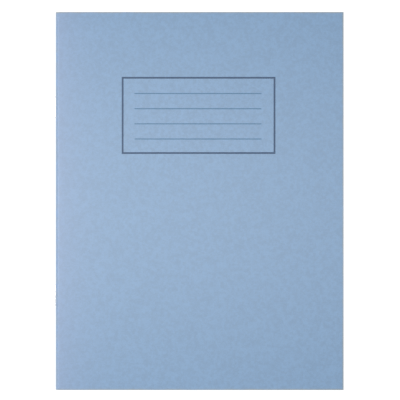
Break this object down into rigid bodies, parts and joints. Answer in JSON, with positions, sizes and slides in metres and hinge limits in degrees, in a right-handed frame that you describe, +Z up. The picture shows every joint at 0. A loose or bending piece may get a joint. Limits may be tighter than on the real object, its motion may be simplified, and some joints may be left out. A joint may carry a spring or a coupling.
{
  "type": "stapled exercise book",
  "caption": "Saddle-stitched school exercise book: folded card cover round nested paper sheets, wire staples in the spine, opening flat at its centre spread.",
  "frame": {"origin": "under the middle of the shut book, on the surface that its back cover rests on", "axes": "+Z up out of the front cover, +Y to the head of the page, +X to the fore edge, spine at -X"},
  "size_m": [0.1748, 0.229, 0.005],
  "materials": {
    "card": "matte",
    "paper": "matte",
    "wire": "satin"
  },
  "bodies": {
    "back_cover": {"back_cover": "card"},
    "spine": {"cover_spine": "card", "sheet_01_fold": "paper", "sheet_02_fold": "paper", "sheet_03_fold": "paper", "sheet_04_fold": "paper", "sheet_05_fold": "paper", "sheet_06_fold": "paper", "sheet_07_fold": "paper", "sheet_08_fold": "paper", "sheet_09_fold": "paper", "sheet_10_fold": "paper", "sheet_11_fold": "paper", "sheet_12_fold": "paper", "sheet_13_fold": "paper", "sheet_14_fold": "paper", "sheet_15_fold": "paper", "sheet_16_fold": "paper", "staple_head": "wire", "staple_tail": "wire"},
    "front_cover": {"front_cover": "card"},
    "sheet_01_front_leaf": {"sheet_01_front_leaf": "paper"},
    "sheet_01_back_leaf": {"sheet_01_back_leaf": "paper"},
    "sheet_02_front_leaf": {"sheet_02_front_leaf": "paper"},
    "sheet_02_back_leaf": {"sheet_02_back_leaf": "paper"},
    "sheet_03_front_leaf": {"sheet_03_front_leaf": "paper"},
    "sheet_03_back_leaf": {"sheet_03_back_leaf": "paper"},
    "sheet_04_front_leaf": {"sheet_04_front_leaf": "paper"},
    "sheet_04_back_leaf": {"sheet_04_back_leaf": "paper"},
    "sheet_05_front_leaf": {"sheet_05_front_leaf": "paper"},
    "sheet_05_back_leaf": {"sheet_05_back_leaf": "paper"},
    "sheet_06_front_leaf": {"sheet_06_front_leaf": "paper"},
    "sheet_06_back_leaf": {"sheet_06_back_leaf": "paper"},
    "sheet_07_front_leaf": {"sheet_07_front_leaf": "paper"},
    "sheet_07_back_leaf": {"sheet_07_back_leaf": "paper"},
    "sheet_08_front_leaf": {"sheet_08_front_leaf": "paper"},
    "sheet_08_back_leaf": {"sheet_08_back_leaf": "paper"},
    "sheet_09_front_leaf": {"sheet_09_front_leaf": "paper"},
    "sheet_09_back_leaf": {"sheet_09_back_leaf": "paper"},
    "sheet_10_front_leaf": {"sheet_10_front_leaf": "paper"},
    "sheet_10_back_leaf": {"sheet_10_back_leaf": "paper"},
    "sheet_11_front_leaf": {"sheet_11_front_leaf": "paper"},
    "sheet_11_back_leaf": {"sheet_11_back_leaf": "paper"},
    "sheet_12_front_leaf": {"sheet_12_front_leaf": "paper"},
    "sheet_12_back_leaf": {"sheet_12_back_leaf": "paper"},
    "sheet_13_front_leaf": {"sheet_13_front_leaf": "paper"},
    "sheet_13_back_leaf": {"sheet_13_back_leaf": "paper"},
    "sheet_14_front_leaf": {"sheet_14_front_leaf": "paper"},
    "sheet_14_back_leaf": {"sheet_14_back_leaf": "paper"},
    "sheet_15_front_leaf": {"sheet_15_front_leaf": "paper"},
    "sheet_15_back_leaf": {"sheet_15_back_leaf": "paper"},
    "sheet_16_front_leaf": {"sheet_16_front_leaf": "paper"},
    "sheet_16_back_leaf": {"sheet_16_back_leaf": "paper"}
  },
  "joints": [
    {"name": "front_cover_open", "type": "hinge", "parent": "back_cover", "child": "front_cover", "pos_m": [-0.08457, 0, 0.0025], "axis": [0, -1, 0], "range_deg": [0, 178], "deforming": ["cover_spine"]},
    {"name": "spine_turn", "type": "hinge", "parent": "back_cover", "child": "spine", "pos_m": [-0.08457, 0, 0.0025], "axis": [0, -1, 0], "range_deg": [0, 89]},
    {"name": "sheet_01_back_leaf_lift", "type": "hinge", "parent": "back_cover", "child": "sheet_01_back_leaf", "pos_m": [-0.08457, 0, 0.0025], "axis": [0, -1, 0], "range_deg": [0, 0.16679]},
    {"name": "sheet_01_fold_open", "type": "hinge", "parent": "sheet_01_back_leaf", "child": "sheet_01_front_leaf", "pos_m": [-0.08457, 0, 0.0025], "axis": [0, -1, 0], "range_deg": [0, 177.67], "deforming": ["sheet_01_fold"]},
    {"name": "sheet_02_back_leaf_lift", "type": "hinge", "parent": "back_cover", "child": "sheet_02_back_leaf", "pos_m": [-0.08457, 0, 0.0025], "axis": [0, -1, 0], "range_deg": [0, 0.33375]},
    {"name": "sheet_02_fold_open", "type": "hinge", "parent": "sheet_02_back_leaf", "child": "sheet_02_front_leaf", "pos_m": [-0.08457, 0, 0.0025], "axis": [0, -1, 0], "range_deg": [0, 177.33], "deforming": ["sheet_02_fold"]},
    {"name": "sheet_03_back_leaf_lift", "type": "hinge", "parent": "back_cover", "child": "sheet_03_back_leaf", "pos_m": [-0.08457, 0, 0.0025], "axis": [0, -1, 0], "range_deg": [0, 0.50054]},
    {"name": "sheet_03_fold_open", "type": "hinge", "parent": "sheet_03_back_leaf", "child": "sheet_03_front_leaf", "pos_m": [-0.08457, 0, 0.0025], "axis": [0, -1, 0], "range_deg": [0, 177], "deforming": ["sheet_03_fold"]},
    {"name": "sheet_04_back_leaf_lift", "type": "hinge", "parent": "back_cover", "child": "sheet_04_back_leaf", "pos_m": [-0.08457, 0, 0.0025], "axis": [0, -1, 0], "range_deg": [0, 0.6675]},
    {"name": "sheet_04_fold_open", "type": "hinge", "parent": "sheet_04_back_leaf", "child": "sheet_04_front_leaf", "pos_m": [-0.08457, 0, 0.0025], "axis": [0, -1, 0], "range_deg": [0, 176.66], "deforming": ["sheet_04_fold"]},
    {"name": "sheet_05_back_leaf_lift", "type": "hinge", "parent": "back_cover", "child": "sheet_05_back_leaf", "pos_m": [-0.08457, 0, 0.0025], "axis": [0, -1, 0], "range_deg": [0, 0.83429]},
    {"name": "sheet_05_fold_open", "type": "hinge", "parent": "sheet_05_back_leaf", "child": "sheet_05_front_leaf", "pos_m": [-0.08457, 0, 0.0025], "axis": [0, -1, 0], "range_deg": [0, 176.33], "deforming": ["sheet_05_fold"]},
    {"name": "sheet_06_back_leaf_lift", "type": "hinge", "parent": "back_cover", "child": "sheet_06_back_leaf", "pos_m": [-0.08457, 0, 0.0025], "axis": [0, -1, 0], "range_deg": [0, 1]},
    {"name": "sheet_06_fold_open", "type": "hinge", "parent": "sheet_06_back_leaf", "child": "sheet_06_front_leaf", "pos_m": [-0.08457, 0, 0.0025], "axis": [0, -1, 0], "range_deg": [0, 176], "deforming": ["sheet_06_fold"]},
    {"name": "sheet_07_back_leaf_lift", "type": "hinge", "parent": "back_cover", "child": "sheet_07_back_leaf", "pos_m": [-0.08457, 0, 0.0025], "axis": [0, -1, 0], "range_deg": [0, 1.17]},
    {"name": "sheet_07_fold_open", "type": "hinge", "parent": "sheet_07_back_leaf", "child": "sheet_07_front_leaf", "pos_m": [-0.08457, 0, 0.0025], "axis": [0, -1, 0], "range_deg": [0, 175.66], "deforming": ["sheet_07_fold"]},
    {"name": "sheet_08_back_leaf_lift", "type": "hinge", "parent": "back_cover", "child": "sheet_08_back_leaf", "pos_m": [-0.08457, 0, 0.0025], "axis": [0, -1, 0], "range_deg": [0, 1.33]},
    {"name": "sheet_08_fold_open", "type": "hinge", "parent": "sheet_08_back_leaf", "child": "sheet_08_front_leaf", "pos_m": [-0.08457, 0, 0.0025], "axis": [0, -1, 0], "range_deg": [0, 175.33], "deforming": ["sheet_08_fold"]},
    {"name": "sheet_09_back_leaf_lift", "type": "hinge", "parent": "back_cover", "child": "sheet_09_back_leaf", "pos_m": [-0.08457, 0, 0.0025], "axis": [0, -1, 0], "range_deg": [0, 1.5]},
    {"name": "sheet_09_fold_open", "type": "hinge", "parent": "sheet_09_back_leaf", "child": "sheet_09_front_leaf", "pos_m": [-0.08457, 0, 0.0025], "axis": [0, -1, 0], "range_deg": [0, 175], "deforming": ["sheet_09_fold"]},
    {"name": "sheet_10_back_leaf_lift", "type": "hinge", "parent": "back_cover", "child": "sheet_10_back_leaf", "pos_m": [-0.08457, 0, 0.0025], "axis": [0, -1, 0], "range_deg": [0, 1.67]},
    {"name": "sheet_10_fold_open", "type": "hinge", "parent": "sheet_10_back_leaf", "child": "sheet_10_front_leaf", "pos_m": [-0.08457, 0, 0.0025], "axis": [0, -1, 0], "range_deg": [0, 174.66], "deforming": ["sheet_10_fold"]},
    {"name": "sheet_11_back_leaf_lift", "type": "hinge", "parent": "back_cover", "child": "sheet_11_back_leaf", "pos_m": [-0.08457, 0, 0.0025], "axis": [0, -1, 0], "range_deg": [0, 1.84]},
    {"name": "sheet_11_fold_open", "type": "hinge", "parent": "sheet_11_back_leaf", "child": "sheet_11_front_leaf", "pos_m": [-0.08457, 0, 0.0025], "axis": [0, -1, 0], "range_deg": [0, 174.33], "deforming": ["sheet_11_fold"]},
    {"name": "sheet_12_back_leaf_lift", "type": "hinge", "parent": "back_cover", "child": "sheet_12_back_leaf", "pos_m": [-0.08457, 0, 0.0025], "axis": [0, -1, 0], "range_deg": [0, 2]},
    {"name": "sheet_12_fold_open", "type": "hinge", "parent": "sheet_12_back_leaf", "child": "sheet_12_front_leaf", "pos_m": [-0.08457, 0, 0.0025], "axis": [0, -1, 0], "range_deg": [0, 174], "deforming": ["sheet_12_fold"]},
    {"name": "sheet_13_back_leaf_lift", "type": "hinge", "parent": "back_cover", "child": "sheet_13_back_leaf", "pos_m": [-0.08457, 0, 0.0025], "axis": [0, -1, 0], "range_deg": [0, 2.17]},
    {"name": "sheet_13_fold_open", "type": "hinge", "parent": "sheet_13_back_leaf", "child": "sheet_13_front_leaf", "pos_m": [-0.08457, 0, 0.0025], "axis": [0, -1, 0], "range_deg": [0, 173.66], "deforming": ["sheet_13_fold"]},
    {"name": "sheet_14_back_leaf_lift", "type": "hinge", "parent": "back_cover", "child": "sheet_14_back_leaf", "pos_m": [-0.08457, 0, 0.0025], "axis": [0, -1, 0], "range_deg": [0, 2.34]},
    {"name": "sheet_14_fold_open", "type": "hinge", "parent": "sheet_14_back_leaf", "child": "sheet_14_front_leaf", "pos_m": [-0.08457, 0, 0.0025], "axis": [0, -1, 0], "range_deg": [0, 173.33], "deforming": ["sheet_14_fold"]},
    {"name": "sheet_15_back_leaf_lift", "type": "hinge", "parent": "back_cover", "child": "sheet_15_back_leaf", "pos_m": [-0.08457, 0, 0.0025], "axis": [0, -1, 0], "range_deg": [0, 2.5]},
    {"name": "sheet_15_fold_open", "type": "hinge", "parent": "sheet_15_back_leaf", "child": "sheet_15_front_leaf", "pos_m": [-0.08457, 0, 0.0025], "axis": [0, -1, 0], "range_deg": [0, 172.99], "deforming": ["sheet_15_fold"]},
    {"name": "sheet_16_back_leaf_lift", "type": "hinge", "parent": "back_cover", "child": "sheet_16_back_leaf", "pos_m": [-0.08457, 0, 0.0025], "axis": [0, -1, 0], "range_deg": [0, 2.67]},
    {"name": "sheet_16_fold_open", "type": "hinge", "parent": "sheet_16_back_leaf", "child": "sheet_16_front_leaf", "pos_m": [-0.08457, 0, 0.0025], "axis": [0, -1, 0], "range_deg": [0, 172.66], "deforming": ["sheet_16_fold"]}
  ],
  "couplings": [
    {"joint": "spine_turn", "follows": "front_cover_open", "ratio": 0.5},
    {"joint": "sheet_01_back_leaf_lift", "follows": "front_cover_open", "ratio": 0.000937},
    {"joint": "sheet_01_fold_open", "follows": "front_cover_open", "ratio": 0.99813},
    {"joint": "sheet_02_back_leaf_lift", "follows": "front_cover_open", "ratio": 0.001875},
    {"joint": "sheet_02_fold_open", "follows": "front_cover_open", "ratio": 0.99625},
    {"joint": "sheet_03_back_leaf_lift", "follows": "front_cover_open", "ratio": 0.002812},
    {"joint": "sheet_03_fold_open", "follows": "front_cover_open", "ratio": 0.99438},
    {"joint": "sheet_04_back_leaf_lift", "follows": "front_cover_open", "ratio": 0.00375},
    {"joint": "sheet_04_fold_open", "follows": "front_cover_open", "ratio": 0.9925},
    {"joint": "sheet_05_back_leaf_lift", "follows": "front_cover_open", "ratio": 0.004687},
    {"joint": "sheet_05_fold_open", "follows": "front_cover_open", "ratio": 0.99062},
    {"joint": "sheet_06_back_leaf_lift", "follows": "front_cover_open", "ratio": 0.005625},
    {"joint": "sheet_06_fold_open", "follows": "front_cover_open", "ratio": 0.98875},
    {"joint": "sheet_07_back_leaf_lift", "follows": "front_cover_open", "ratio": 0.006562},
    {"joint": "sheet_07_fold_open", "follows": "front_cover_open", "ratio": 0.98687},
    {"joint": "sheet_08_back_leaf_lift", "follows": "front_cover_open", "ratio": 0.0075},
    {"joint": "sheet_08_fold_open", "follows": "front_cover_open", "ratio": 0.985},
    {"joint": "sheet_09_back_leaf_lift", "follows": "front_cover_open", "ratio": 0.008438},
    {"joint": "sheet_09_fold_open", "follows": "front_cover_open", "ratio": 0.98313},
    {"joint": "sheet_10_back_leaf_lift", "follows": "front_cover_open", "ratio": 0.009375},
    {"joint": "sheet_10_fold_open", "follows": "front_cover_open", "ratio": 0.98125},
    {"joint": "sheet_11_back_leaf_lift", "follows": "front_cover_open", "ratio": 0.010312},
    {"joint": "sheet_11_fold_open", "follows": "front_cover_open", "ratio": 0.97937},
    {"joint": "sheet_12_back_leaf_lift", "follows": "front_cover_open", "ratio": 0.01125},
    {"joint": "sheet_12_fold_open", "follows": "front_cover_open", "ratio": 0.9775},
    {"joint": "sheet_13_back_leaf_lift", "follows": "front_cover_open", "ratio": 0.012188},
    {"joint": "sheet_13_fold_open", "follows": "front_cover_open", "ratio": 0.97562},
    {"joint": "sheet_14_back_leaf_lift", "follows": "front_cover_open", "ratio": 0.013125},
    {"joint": "sheet_14_fold_open", "follows": "front_cover_open", "ratio": 0.97375},
    {"joint": "sheet_15_back_leaf_lift", "follows": "front_cover_open", "ratio": 0.014062},
    {"joint": "sheet_15_fold_open", "follows": "front_cover_open", "ratio": 0.97188},
    {"joint": "sheet_16_back_leaf_lift", "follows": "front_cover_open", "ratio": 0.015},
    {"joint": "sheet_16_fold_open", "follows": "front_cover_open", "ratio": 0.97}
  ]
}
